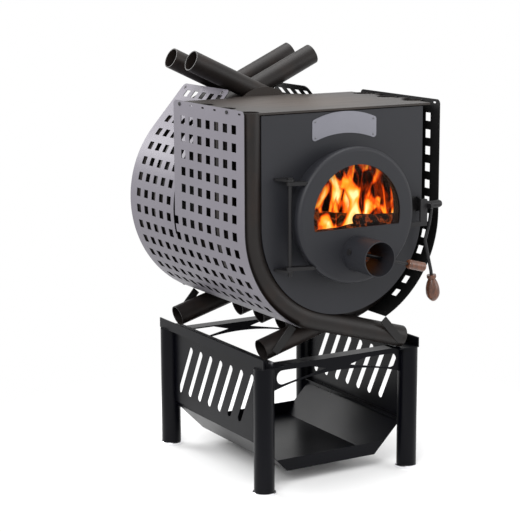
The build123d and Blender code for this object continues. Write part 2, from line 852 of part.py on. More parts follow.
knob_dir = (sin(lean), 0, -cos(lean))
knob_x = bends[2][0] + knob_setback * knob_dir[0]
knob_z = bends[2][1] + knob_setback * knob_dir[2]
knob_plane = Plane(origin=(knob_x, latch_y, knob_z), x_dir=(0, 1, 0), z_dir=knob_dir)
knob_tip = latch_neck + (latch_knob_length - latch_neck) * 0.55
with BuildPart() as latch_knob:
    with BuildSketch(Plane(origin=knob_plane.origin, x_dir=knob_dir, z_dir=(0, -1, 0))):
        with BuildLine():
            Line((0, 0), (0, latch_rim_r))
            Line((0, latch_rim_r), (latch_rim, latch_rim_r))
            Line((latch_rim, latch_rim_r), (latch_neck, latch_neck_r))
            swell = ((latch_neck + knob_tip) / 2, latch_knob_r * 0.9)
            ThreePointArc((latch_neck, latch_neck_r), swell, (knob_tip, latch_knob_r))
            nose = ((knob_tip + latch_knob_length) / 2 + 3, latch_knob_r * 0.8)
            ThreePointArc((knob_tip, latch_knob_r), nose, (latch_knob_length, rod_r))
            Line((latch_knob_length, rod_r), (latch_knob_length, 0))
            Line((latch_knob_length, 0), (0, 0))
        make_face()
    revolve(axis=Axis(knob_plane.origin, knob_dir))
    with BuildSketch(knob_plane):
        Circle(rod_r)
    extrude(amount=rod_tail - knob_setback, mode=Mode.SUBTRACT)
save(latch_knob, "latch_knob")

# Door tongue that the latch closes on
tongue_end = latch_x - tongue_clear
tongue_low = door_z - tongue_drop
with BuildPart() as tongue:
    with BuildSketch(upright_plane(door_rim_y)):
        with Locations((tongue_end / 2, tongue_low)):
            Rectangle(tongue_end, tongue_bar)
        plate_z = tongue_low - tongue_bar / 2
        plate_height = door_z + tongue_top - plate_z
        with Locations((tongue_end - tongue_plate / 2, plate_z + plate_height / 2)):
            RectangleRounded(tongue_plate, plate_height, tongue_bar / 3)
        with Locations((0, door_z)):
            Circle(door_r, mode=Mode.SUBTRACT)
    extrude(amount=tongue_thickness)
save(tongue, "latch_tongue")

# Stand legs with a cap on top, and levelling feet plugged into them
leg_x = leg_spacing_x / 2
leg_y = leg_spacing_y / 2
corners = [("front_left", -leg_x, -leg_y), ("front_right", leg_x, -leg_y)]
corners += [("rear_left", -leg_x, leg_y), ("rear_right", leg_x, leg_y)]
for name, x, y in corners:
    with BuildPart() as leg:
        with BuildSketch(Plane.XY.offset(foot_height)):
            with Locations((x, stand_y + y)):
                Circle(leg_r)
        extrude(amount=leg_length)
        with BuildSketch(Plane.XY.offset(foot_height)):
            with Locations((x, stand_y + y)):
                Circle(leg_r - leg_wall)
        extrude(amount=leg_length - leg_cap, mode=Mode.SUBTRACT)
    save(leg, f"stand_leg_{name}")
    with BuildPart() as foot:
        with BuildSketch(Plane.XY):
            with Locations((x, stand_y + y)):
                Circle(foot_r)
        extrude(amount=foot_height)
        chamfer(foot.edges().group_by(Axis.Z)[-1], foot_height / 5)
        with BuildSketch(Plane.XY.offset(foot_height)):
            with Locations((x, stand_y + y)):
                Circle(leg_r - leg_wall - seat_gap)
        extrude(amount=foot_plug)
    save(foot, f"levelling_foot_{name}")

# Cross-members between the legs, with a flange on top and two tapering cut-outs
cross_half = leg_x - leg_r
bolt_x = rail_edge - rail_flange + bolt_inset
for name, way in [("front", 1), ("rear", -1)]:
    outer_y = stand_y - way * leg_y
    with BuildPart() as cross:
        with BuildSketch(upright_plane(outer_y + cross_sheet / 2)):
            with BuildLine():
                foot_z = leg_top - cross_depth
                Line((-cross_half, leg_top), (-cross_half, foot_z))
                ThreePointArc((-cross_half, foot_z), (0, leg_top - cross_waist), (cross_half, foot_z))
                Line((cross_half, foot_z), (cross_half, leg_top))
                Line((cross_half, leg_top), (-cross_half, leg_top))
            make_face()
        extrude(amount=cross_sheet)
        with BuildSketch(Plane.XY.offset(leg_top)):
            with Locations((0, outer_y + way * (cross_flange - cross_sheet) / 2)):
                Rectangle(2 * cross_half, cross_flange)
        extrude(amount=-cross_sheet)
        top_z = leg_top - cross_sheet - cutout_margin
        low_z = foot_z + cutout_margin
        point_z = top_z - (cross_waist - cutout_margin) / 2
        for side in [-1, 1]:
            start_x = side * (cross_half - cutout_margin)
            with BuildSketch(upright_plane(outer_y + cross_sheet)) as cutout:
                with BuildLine():
                    Polyline(
                        (start_x, top_z),
                        (start_x, low_z),
                        (side * cutout_point, point_z),
                        (side * cutout_flat, top_z),
                        close=True,
                    )
                make_face()
                fillet(cutout.vertices().filter_by_position(Axis.X, *sorted([start_x - 1, start_x + 1])), cutout_round)
            extrude(amount=2 * cross_sheet, mode=Mode.SUBTRACT)
        hole_y = outer_y + way * cross_flange / 2
        with BuildSketch(Plane.XY.offset(leg_top)):
            with Locations((-bolt_x, hole_y), (bolt_x, hole_y)):
                Circle(bolt_r + bolt_gap)
        extrude(amount=-cross_sheet, mode=Mode.SUBTRACT)
    save(cross, f"{name}_cross_member")

# Rails that carry the stove's feet
front_hole = stand_y - leg_y + cross_flange / 2
rear_hole = stand_y + leg_y - cross_flange / 2
for name, side in [("left", -1), ("right", 1)]:
    with BuildPart() as rail:
        with BuildSketch(Plane.XY.offset(leg_top)):
            with Locations((side * (rail_edge - rail_flange / 2), stand_y)):
                Rectangle(rail_flange, rail_length)
            with Locations((side * bolt_x, front_hole), (side * bolt_x, rear_hole)):
                Circle(bolt_r + bolt_gap, mode=Mode.SUBTRACT)
        extrude(amount=rail_sheet)
        with BuildSketch(Plane.XY.offset(leg_top)):
            with Locations((side * (rail_edge - rail_sheet / 2), stand_y)):
                Rectangle(rail_sheet, rail_length)
        extrude(amount=rail_lip)
    save(rail, f"{name}_rail")

# Bolts through the rails and the flanges of the cross-members
with BuildPart() as bolts:
    for x in [-bolt_x, bolt_x]:
        for y in [front_hole, rear_hole]:
            with BuildSketch(Plane.XY.offset(leg_top - cross_sheet)):
                with Locations((x, y)):
                    Circle(bolt_r)
            extrude(amount=cross_sheet + rail_sheet)
            with BuildSketch(Plane.XY.offset(rail_top)):
                with Locations((x, y)):
                    RegularPolygon(bolt_head_r, 6)
            extrude(amount=bolt_head)
            with BuildSketch(Plane.XY.offset(leg_top - cross_sheet)):
                with Locations((x, y)):
                    RegularPolygon(bolt_head_r, 6)
            extrude(amount=-bolt_head)
save(bolts, "stand_bolts")

# Side panels with leaning slots
panel_length = leg_spacing_y - 2 * leg_r
panel_low_z = leg_top - panel_height
for name, side in [("left", -1), ("right", 1)]:
    with BuildPart() as panel:
        with BuildSketch(side_plane(side * leg_x - panel_sheet / 2)):
            with Locations((stand_y, panel_low_z + panel_height / 2)):
                Rectangle(panel_length, panel_height)
                with GridLocations(panel_slot_pitch, 0, panel_slots, 1):
                    slot_turn = 90 + panel_slot_lean
                    SlotOverall(panel_slot_length, panel_slot_width, slot_turn, mode=Mode.SUBTRACT)
        extrude(amount=panel_sheet)
        lip_x = side * (leg_x - panel_lip / 2)
        for z in [panel_low_z, leg_top - panel_sheet]:
            with BuildSketch(Plane.XY.offset(z)):
                with Locations((lip_x, stand_y)):
                    Rectangle(panel_lip, panel_length)
            extrude(amount=panel_sheet)
    save(panel, f"{name}_side_panel")

# Log tray with sloping sides that end under the side panels
tray_length = panel_length - 2 * seat_gap
tray_top = tray_floor_z + tray_run
with BuildPart() as tray:
    with BuildSketch(upright_plane(stand_y - tray_length / 2)):
        with BuildLine() as tray_line:
            Polyline(
                (-tray_floor_half - tray_run, panel_low_z - seat_gap),
                (-tray_floor_half - tray_run, tray_top),
                (-tray_floor_half, tray_floor_z),
                (tray_floor_half, tray_floor_z),
                (tray_floor_half + tray_run, tray_top),
                (tray_floor_half + tray_run, panel_low_z - seat_gap),
            )
            offset(amount=tray_sheet, side=Side.LEFT)
        make_face()
    extrude(amount=-tray_length)
    for y in [stand_y - tray_length / 2, stand_y + tray_length / 2 - tray_sheet]:
        with BuildSketch(upright_plane(y)):
            with BuildLine():
                lip_half = tray_floor_half + tray_lip
                Polyline(
                    (-tray_floor_half, tray_floor_z),
                    (tray_floor_half, tray_floor_z),
                    (lip_half, tray_floor_z + tray_lip),
                    (-lip_half, tray_floor_z + tray_lip),
                    close=True,
                )
            make_face()
        extrude(amount=-tray_sheet)
save(tray, "log_tray")
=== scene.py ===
"""Looks of the workshop stove: finishes for the CAD frame, the fire, the small fixings and the studio."""
import json
from math import cos, pi, radians, sin

import bpy
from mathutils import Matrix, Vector


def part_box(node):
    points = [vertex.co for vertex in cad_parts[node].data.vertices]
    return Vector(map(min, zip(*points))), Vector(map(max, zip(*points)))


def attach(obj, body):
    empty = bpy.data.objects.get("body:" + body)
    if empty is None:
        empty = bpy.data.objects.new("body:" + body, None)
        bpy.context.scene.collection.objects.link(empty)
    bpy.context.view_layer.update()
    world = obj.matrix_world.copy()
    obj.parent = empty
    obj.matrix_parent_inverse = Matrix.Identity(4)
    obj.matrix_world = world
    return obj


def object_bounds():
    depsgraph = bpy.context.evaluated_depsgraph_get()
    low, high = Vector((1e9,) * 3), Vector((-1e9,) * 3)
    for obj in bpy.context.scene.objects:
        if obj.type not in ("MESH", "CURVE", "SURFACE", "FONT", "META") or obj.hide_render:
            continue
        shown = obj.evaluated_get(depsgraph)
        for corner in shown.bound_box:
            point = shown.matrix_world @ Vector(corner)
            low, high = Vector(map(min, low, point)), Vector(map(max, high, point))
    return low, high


bl_info = {
    "name": "Workshop Stove Looks",
    "version": (1, 0, 0),
    "blender": (4, 5, 0),
    "location": "View3D > Sidebar > Stove",
    "description": "Finishes, fire, fixings and studio for a workshop stove",
    "category": "Object",
}

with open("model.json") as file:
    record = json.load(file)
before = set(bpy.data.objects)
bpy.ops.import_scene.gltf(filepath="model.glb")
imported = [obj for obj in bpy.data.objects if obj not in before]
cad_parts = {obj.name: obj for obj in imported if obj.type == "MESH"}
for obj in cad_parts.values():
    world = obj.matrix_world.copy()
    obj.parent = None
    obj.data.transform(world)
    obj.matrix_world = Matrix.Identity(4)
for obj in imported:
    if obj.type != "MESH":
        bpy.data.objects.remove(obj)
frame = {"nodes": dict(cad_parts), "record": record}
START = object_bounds()
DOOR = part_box("door_disc")
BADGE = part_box("badge_plate")
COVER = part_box("cover_left")
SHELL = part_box("firebox_shell")
BARREL_Z = SHELL[0][2] + (SHELL[1][0] - SHELL[0][0]) / 2
COVER_R = COVER[0][0] * -1
FRONT_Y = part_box("front_plate")[0][1]
DOOR_Z = (DOOR[0][2] + DOOR[1][2]) / 2
SILL_Z = DOOR_Z - 0.034

# Angle and length of the flat upper part of a cover, and how far its screws stand in from its edges
TAB_TURN = radians(41.2)
TAB_LENGTH = 0.172
SCREW_INSET = 0.014
SCREW_R = 0.0055
RIVET_R = 0.0032


class Field:
    """A value inside a material. Plain arithmetic on it adds the Math nodes."""

    def __init__(self, finish, socket):
        self.finish = finish
        self.socket = socket

    def apply(self, operation, *values):
        """One Math node with these values at its inputs."""
        return self.finish.add("ShaderNodeMath", {"operation": operation}, dict(enumerate(values)))

    def __add__(self, other):
        return self.apply("ADD", self, other)

    def __radd__(self, other):
        return self.apply("ADD", other, self)

    def __sub__(self, other):
        return self.apply("SUBTRACT", self, other)

    def __rsub__(self, other):
        return self.apply("SUBTRACT", other, self)

    def __mul__(self, other):
        return self.apply("MULTIPLY", self, other)

    def __rmul__(self, other):
        return self.apply("MULTIPLY", other, self)

    def __truediv__(self, other):
        return self.apply("DIVIDE", self, other)

    def __rtruediv__(self, other):
        return self.apply("DIVIDE", other, self)

    def power(self, other):
        """The value raised to other."""
        return self.apply("POWER", self, other)

    def size(self):
        """The value without its sign."""
        return self.apply("ABSOLUTE", self)

    def most(self, other):
        """The larger of the two."""
        return self.apply("MAXIMUM", self, other)

    def least(self, other):
        """The smaller of the two."""
        return self.apply("MINIMUM", self, other)

    def ridge(self):
        """1 where the value is 0.5, falling to 0 on both sides."""
        return 1.0 - (self * 2.0 - 1.0).size()

    def ramp(self, low, high):
        """0 below low, 1 above high and smooth between them."""
        return self.finish.add(
            "ShaderNodeMapRange", {"interpolation_type": "SMOOTHSTEP"},
            {"Value": self, "From Min": low, "From Max": high}, "Result")


class Finish:
    """One material: its coordinates, noises, colour mixes and final shader."""

    def __init__(self, name):
        self.material = bpy.data.materials.new(name)
        self.material.use_nodes = True
        self.tree = self.material.node_tree
        self.tree.nodes.clear()
        output = self.tree.nodes.new("ShaderNodeOutputMaterial")
        self.shader = self.tree.nodes.new("ShaderNodeBsdfPrincipled")
        self.tree.links.new(self.shader.outputs["BSDF"], output.inputs["Surface"])
        self.place = self.add("ShaderNodeTexCoord", {}, {}, "Object")
        split = self.add("ShaderNodeSeparateXYZ", {}, {0: self.place}).socket.node
        self.x, self.y, self.z = [Field(self, output) for output in split.outputs]

    def plug(self, socket, value):
        """Links a field to a socket, or sets a plain value on it."""
        if isinstance(value, Field):
            self.tree.links.new(value.socket, socket)
        elif isinstance(value, tuple) and socket.type == "RGBA":
            socket.default_value = (*value, 1.0)
        else:
            socket.default_value = value

    def add(self, kind, settings, sockets, output=0):
        """One node: its kind, its settings, then the values or links of its sockets."""
        node = self.tree.nodes.new(kind)
        for name, value in settings.items():
            setattr(node, name, value)
        for key, value in sockets.items():
            self.plug(node.inputs[key], value)
        return Field(self, node.outputs[output])

    def noise(self, scale, detail=3.0, roughness=0.5, stretch=(1, 1, 1), shift=(0, 0, 0), warp=0.0):
        """Noise over the piece, in steps per metre, stretched and moved along the axes."""
        place = self.add(
            "ShaderNodeMapping", {}, {"Vector": self.place, "Scale": stretch, "Location": shift})
        return self.add("ShaderNodeTexNoise", {}, {
            "Vector": place, "Scale": scale, "Detail": detail, "Roughness": roughness, "Distortion": warp})

    def mix(self, amount, first, second):
        """The first colour where amount is 0 and the second where it is 1."""
        return self.add("ShaderNodeMix", {"data_type": "RGBA"}, {0: amount, 6: first, 7: second}, 2)

    def bump(self, height, strength, distance=0.001):
        """Feeds a height to the shader's normal, with the relief in metres."""
        relief = self.add(
            "ShaderNodeBump", {}, {"Strength": strength, "Distance": distance, "Height": height}, "Normal")
        self.plug(self.shader.inputs["Normal"], relief)

    def set(self, **values):
        """Sets the shader's inputs, named in lower case with underscores."""
        for name, value in values.items():
            title = name.replace("_", " ").title().replace("Ior", "IOR")
            self.plug(self.shader.inputs[title], value)
        return self.material


def lighter(colour, amount):
    """The colour times amount, held at white."""
    return tuple(min(1.0, part * amount) for part in colour)


def metal_paint(name, colour, rough, metal, spread=0.12, grain=0.15, coat=0.0, shine=0.35, speck=900.0):
    """A painted or worked metal: broad patches, fine specks and a fine bump."""
    finish = Finish(name)
    broad = finish.noise(6.0, 4.0, 0.55)
    fine = finish.noise(speck, 2.0, 0.6)
    patches = (broad * 0.7 + fine * 0.3).ramp(0.25, 0.75)
    finish.bump(fine, grain, 0.0004)
    colours = finish.mix(patches, lighter(colour, 1.0 - spread), lighter(colour, 1.0 + spread))
    sheen = broad * 0.16 + (rough - 0.08)
    return finish.set(
        base_color=colours, roughness=sheen, metallic=metal, coat_weight=coat, specular_ior_level=shine)


class StoveColours(bpy.types.PropertyGroup):
    """Colours of the finishes."""

    tube: bpy.props.FloatVectorProperty(
        name="Tubes", description="Burnt paint of the convection tubes",
        subtype="COLOR", size=3, min=0.0, max=1.0, default=(0.0085, 0.0066, 0.0060))
    front: bpy.props.FloatVectorProperty(
        name="Front", description="Anthracite paint of the front plate and the door",
        subtype="COLOR", size=3, min=0.0, max=1.0, default=(0.0145, 0.0150, 0.0185))
    top: bpy.props.FloatVectorProperty(
        name="Cook plate", description="Heat-browned steel of the cook plate",
        subtype="COLOR", size=3, min=0.0, max=1.0, default=(0.034, 0.026, 0.021))
    cover: bpy.props.FloatVectorProperty(
        name="Covers", description="Grey paint on the outside of the perforated covers",
        subtype="COLOR", size=3, min=0.0, max=1.0, default=(0.158, 0.148, 0.172))
    stand: bpy.props.FloatVectorProperty(
        name="Stand", description="Glossy coat of the stand",
        subtype="COLOR", size=3, min=0.0, max=1.0, default=(0.0010, 0.0011, 0.0024))
    wood: bpy.props.FloatVectorProperty(
        name="Knobs", description="Oiled wood of the two knobs",
        subtype="COLOR", size=3, min=0.0, max=1.0, default=(0.105, 0.036, 0.016))
    badge: bpy.props.FloatVectorProperty(
        name="Badge", description="Bare metal of the badge",
        subtype="COLOR", size=3, min=0.0, max=1.0, default=(0.185, 0.185, 0.210))


class FireSizes(bpy.types.PropertyGroup):
    """Sizes of the logs and the flames."""

    log_radius: bpy.props.FloatProperty(
        name="Log radius", description="Radius of the thickest log",
        default=0.044, min=0.02, max=0.07, unit="LENGTH")
    log_length: bpy.props.FloatProperty(
        name="Log length", description="Length of the logs",
        default=0.33, min=0.2, max=0.38, unit="LENGTH")
    log_height: bpy.props.FloatProperty(
        name="Log height", description="Height of the logs above the window sill",
        default=-0.018, min=-0.1, max=0.05, unit="LENGTH")
    flame_height: bpy.props.FloatProperty(
        name="Flame height", description="Height of the flames above the logs",
        default=0.235, min=0.1, max=0.3, unit="LENGTH")
    glow: bpy.props.FloatProperty(
        name="Glow", description="Brightness of the flames",
        default=1.6, min=0.0, max=40.0)


class StudioSizes(bpy.types.PropertyGroup):
    """Camera and light."""

    azimuth: bpy.props.FloatProperty(
        name="Azimuth", description="How far the camera stands to the side of the front",
        subtype="ANGLE", default=radians(-31.5))
    elevation: bpy.props.FloatProperty(
        name="Elevation", description="How far the camera looks down",
        subtype="ANGLE", default=radians(11.0))
    distance: bpy.props.FloatProperty(
        name="Distance", description="From the camera to the middle of the stove",
        default=4.95, min=1.0, max=20.0, unit="LENGTH")
    lens: bpy.props.FloatProperty(
        name="Lens", description="Focal length in millimetres",
        default=111.0, min=20.0, max=300.0)
    shift_x: bpy.props.FloatProperty(
        name="Shift aside", description="How far the view is moved right, as a share of its long side",
        default=-0.062, min=-1.0, max=1.0)
    shift_y: bpy.props.FloatProperty(
        name="Shift up", description="How far the view is moved up, as a share of its long side",
        default=-0.012, min=-1.0, max=1.0)
    background: bpy.props.FloatProperty(
        name="Background", description="Brightness of the white surroundings",
        default=1.0, min=0.0, max=4.0)


def clear_selection():
    """Deselects everything, so that edit mode holds only the next new piece."""
    if bpy.context.mode != "OBJECT":
        bpy.ops.object.mode_set(mode="OBJECT")
    bpy.ops.object.select_all(action="DESELECT")


def settle(name, material, body=None, smooth=40.0):
    """Puts the new piece's place into its mesh, names it, shades it and ties it to its body."""
    piece = bpy.context.active_object
    bpy.ops.object.transform_apply(location=True, rotation=True, scale=True)
    bpy.ops.object.mode_set(mode="EDIT")
    bpy.ops.mesh.select_all(action="SELECT")
    bpy.ops.mesh.normals_make_consistent(inside=False)
    bpy.ops.object.mode_set(mode="OBJECT")
    bpy.ops.object.shade_smooth_by_angle(angle=radians(smooth))
    piece.name = name
    piece.data.name = name
    piece.data.materials.clear()
    piece.data.materials.append(material)
    if body:
        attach(piece, body)
    return piece


def apply_modifiers(piece):
    """Makes every modifier of the piece permanent."""
    for modifier in list(piece.modifiers):
        bpy.ops.object.modifier_apply(modifier=modifier.name)


class STOVE_OT_finishes(bpy.types.Operator):
    """Gives every CAD node its finish"""

    bl_idname = "stove.finishes"
    bl_label = "Finish The Frame"

    def execute(self, context):
        colours = context.scene.stove_colours
        finishes = {
            "tube_steel": self.tubes(tuple(colours.tube)),
            "firebox_paint": metal_paint("firebox_paint", (0.007, 0.0065, 0.0065), 0.65, 0.0),
            "cook_plate_steel": self.cook_plate(tuple(colours.top)),
            "front_paint": metal_paint(
                "front_paint", tuple(colours.front), 0.50, 0.0, spread=0.10, grain=0.22, shine=0.30),
            "badge_metal": metal_paint("badge_metal", tuple(colours.badge), 0.42, 0.55, 0.08, 0.10),
            "cover_paint": metal_paint("cover_outside", tuple(colours.cover), 0.46, 0.15, 0.06, 0.08),
            "fitting_steel": metal_paint("fitting_steel", (0.013, 0.0125, 0.0135), 0.42, 0.3, 0.2, 0.2),
            "knob_wood": self.wood(tuple(colours.wood)),
            "window_glass": self.glass(),
            "seal_rope": self.rope(),
            "foot_chrome": metal_paint("foot_chrome", (0.90, 0.90, 0.92), 0.22, 1.0, 0.03, 0.02),
            "bolt_steel": metal_paint("bolt_steel", (0.42, 0.42, 0.44), 0.34, 0.9, 0.08, 0.10),
            "stand_paint": metal_paint(
                "stand_paint", tuple(colours.stand), 0.30, 0.0, spread=0.15, grain=0.10, shine=0.12),
        }
        # Near-black painted shade for the inner faces and cut edges of the covers, where the shade between
        # cover and barrel falls
        inside = metal_paint("cover_inside_painted_shade", (0.005, 0.0048, 0.005), 0.6, 0.0)
        for part in frame["record"]["subparts"]:
            node = frame["nodes"][part["node"]]
            finish = finishes[part["material_slot"]]
            node.data.materials.clear()
            node.data.materials.append(finish)
            # Covers take the painted shade as a second material on their inner faces and cut edges
            if part["material_slot"] == "cover_paint":
                node.data.materials.append(inside)
                self.paint_shade_inside(node)
        return {"FINISHED"}

    def paint_shade_inside(self, node):
        """The faces of a cover that look towards the barrel, and its cut edges, are dark: a painted shade
        for the gap between cover and barrel.
        """
        for face in node.data.polygons:
            spot = face.center
            outward = Vector((spot.x, 0.0, min(0.0, spot.z - BARREL_Z)))
            if abs(spot.x) < COVER_R - 0.004 and spot.z > BARREL_Z:
                outward = Vector((spot.x, 0.0, spot.z - BARREL_Z))
            face.material_index = 0 if face.normal.dot(outward.normalized()) > 0.5 else 1

    def tubes(self, colour):
        """Burnt paint with a browner, drier bloom in scattered patches."""
        finish = Finish("tube_steel")
        broad = finish.noise(5.0, 5.0, 0.6)
        fine = finish.noise(700.0, 2.0, 0.6)
        rust = finish.noise(11.0, 6.0, 0.62, shift=(3.0, 1.0, 2.0)).ramp(0.46, 0.70)
        burnt = finish.mix(broad.ramp(0.3, 0.7), lighter(colour, 0.75), lighter(colour, 1.3))
        warm = (colour[0] * 1.9, colour[1] * 1.45, colour[2] * 1.15)
        finish.bump(fine, 0.25, 0.0004)
        return finish.set(
            base_color=finish.mix(rust * 0.6, burnt, warm),
            roughness=broad * 0.18 + 0.36,
            specular_ior_level=0.27)

    def cook_plate(self, colour):
        """Rolled steel, browned towards the middle where the fire is hottest."""
        finish = Finish("cook_plate_steel")
        along = (finish.y - (FRONT_Y + 0.21)) * 2.6
        across = finish.x * 2.2
        wander = finish.noise(5.0, 4.0, 0.6) * 0.5 - 0.25
        heat = (along * along + across * across).power(0.5) + wander
        streak = finish.noise(70.0, 3.0, 0.6, stretch=(0.12, 1.0, 1.0))
        cool = (colour[0] * 0.62, colour[1] * 0.66, colour[2] * 0.74)
        warm = (colour[0] * 1.35, colour[1] * 1.20, colour[2] * 1.02)
        tint = finish.mix(heat.ramp(0.15, 0.75), warm, cool)
        finish.bump(streak, 0.10, 0.0004)
        colours = finish.mix(streak.ramp(0.35, 0.65) * 0.35, tint, lighter(colour, 0.8))
        return finish.set(
            base_color=colours, roughness=streak * 0.14 + 0.40, metallic=0.2, specular_ior_level=0.35)

    def wood(self, colour):
        """Oiled turned wood with grain along its length."""
        finish = Finish("knob_wood")
        grain = finish.noise(38.0, 4.0, 0.6, stretch=(3.0, 3.0, 0.5), warp=0.8)
        pores = finish.noise(420.0, 2.0, 0.5, stretch=(1.0, 1.0, 0.12))
        finish.bump(pores, 0.18, 0.0003)
        colours = finish.mix(grain.ramp(0.35, 0.65), lighter(colour, 0.55), lighter(colour, 1.35))
        return finish.set(base_color=colours, roughness=pores * 0.2 + 0.30, coat_weight=0.25)

    def glass(self):
        """Clear glass ceramic with a faint brown smoke towards the edge."""
        finish = Finish("window_glass")
        up = finish.z - DOOR_Z
        reach = (finish.x * finish.x + up * up).power(0.5)
        smoke = (reach + finish.noise(9.0, 4.0, 0.6) * 0.05 - 0.025).ramp(0.110, 0.165)
        return finish.set(
            base_color=(0.018, 0.012, 0.009), roughness=0.06, alpha=smoke * 0.45 + 0.05,
            specular_ior_level=0.1)

    def rope(self):
        """Pale braided seal."""
        finish = Finish("seal_rope")
        braid = finish.noise(300.0, 2.0, 0.5)
        finish.bump(braid, 0.5, 0.001)
        colours = finish.mix(braid.ramp(0.3, 0.7), (0.16, 0.15, 0.14), (0.42, 0.40, 0.37))
        return finish.set(base_color=colours, roughness=0.95)


def bark():
    """Charred bark with glowing seams."""
    finish = Finish("charred_log")
    ridges = finish.noise(30.0, 6.0, 0.65, stretch=(0.5, 1.0, 1.0), warp=0.4)
    seams = finish.noise(22.0, 4.0, 0.6, shift=(5.0, 2.0, 7.0)).ridge().ramp(0.90, 0.99)
    finish.bump(ridges, 0.9, 0.006)
    colours = finish.mix(ridges.ramp(0.35, 0.65), (0.003, 0.002, 0.002), (0.022, 0.011, 0.007))
    finish.set(emission_color=finish.mix(seams, (0.0, 0.0, 0.0), (1.0, 0.16, 0.02)))
    return finish.set(base_color=colours, roughness=0.9, emission_strength=0.25)


class STOVE_OT_logs(bpy.types.Operator):
    """Makes the burning logs behind the window"""

    bl_idname = "stove.logs"
    bl_label = "Make Logs"

    def execute(self, context):
        sizes = context.scene.stove_fire
        height = SILL_Z + sizes.log_height
        # Middle, turns in degrees and share of the full radius and length
        logs = [
            ((0.015, FRONT_Y + 0.105, height - 0.045), (0.0, 84.0, 6.0), 1.0),
            ((0.060, FRONT_Y + 0.165, height - 0.012), (0.0, 96.0, -17.0), 0.86),
            ((-0.045, FRONT_Y + 0.200, height - 0.040), (0.0, 93.0, 22.0), 0.92),
            ((0.150, FRONT_Y + 0.034, height + 0.010), (0.0, 93.0, 3.0), 0.50),
        ]
        material = bark()
        for number, (place, turn, share) in enumerate(logs):
            clear_selection()
            bpy.ops.mesh.primitive_cylinder_add(
                vertices=28, radius=sizes.log_radius * share, depth=sizes.log_length * share,
                location=place, rotation=[radians(a) for a in turn])
            piece = bpy.context.active_object
            bpy.ops.object.mode_set(mode="EDIT")
            bpy.ops.mesh.select_all(action="SELECT")
            bpy.ops.mesh.subdivide(number_cuts=5)
            bpy.ops.object.mode_set(mode="OBJECT")
            lumps = bpy.data.textures.new(f"log_lumps_{number}", "CLOUDS")
            lumps.noise_scale = 0.05
            shape = piece.modifiers.new("lumps", "DISPLACE")
            shape.texture = lumps
            shape.texture_coords = "GLOBAL"
            shape.strength = 0.014
            apply_modifiers(piece)
            settle(f"log_{number + 1}", material, "stove", 60.0)
        return {"FINISHED"}


class STOVE_OT_embers(bpy.types.Operator):
    """Makes the bed of embers under the logs"""

    bl_idname = "stove.embers"
    bl_label = "Make Embers"

    def execute(self, context):
        sizes = context.scene.stove_fire
        top = SILL_Z + sizes.log_height - 2.4 * sizes.log_radius
        finish = Finish("ember_bed")
        lumps = finish.noise(38.0, 5.0, 0.6)
        heat = finish.noise(16.0, 4.0, 0.6, shift=(1.0, 5.0, 3.0)).ramp(0.42, 0.66)
        finish.bump(lumps, 0.8, 0.006)
        glowing = finish.mix(heat, (0.10, 0.008, 0.0), (1.0, 0.22, 0.03))
        finish.set(emission_color=finish.mix(lumps.ramp(0.42, 0.58), glowing, (0.0, 0.0, 0.0)))
        colours = finish.mix(lumps.ramp(0.4, 0.6), (0.012, 0.009, 0.008), (0.085, 0.078, 0.072))
        material = finish.set(base_color=colours, roughness=0.95, emission_strength=0.12)
        clear_selection()
        bpy.ops.mesh.primitive_grid_add(
            x_subdivisions=44, y_subdivisions=44, size=1.0, location=(0.0, FRONT_Y + 0.185, top))
        piece = bpy.context.active_object
        piece.scale = (0.38, 0.32, 1.0)
        bpy.ops.object.transform_apply(location=True, rotation=False, scale=True)
        clouds = bpy.data.textures.new("ember_lumps", "CLOUDS")
        clouds.noise_scale = 0.035
        shape = piece.modifiers.new("lumps", "DISPLACE")
        shape.texture = clouds
        shape.texture_coords = "GLOBAL"
        shape.strength = 0.03
        shell = piece.modifiers.new("depth", "SOLIDIFY")
        shell.thickness = 0.02
        apply_modifiers(piece)
        settle("ember_bed", material, "stove", 60.0)
        return {"FINISHED"}


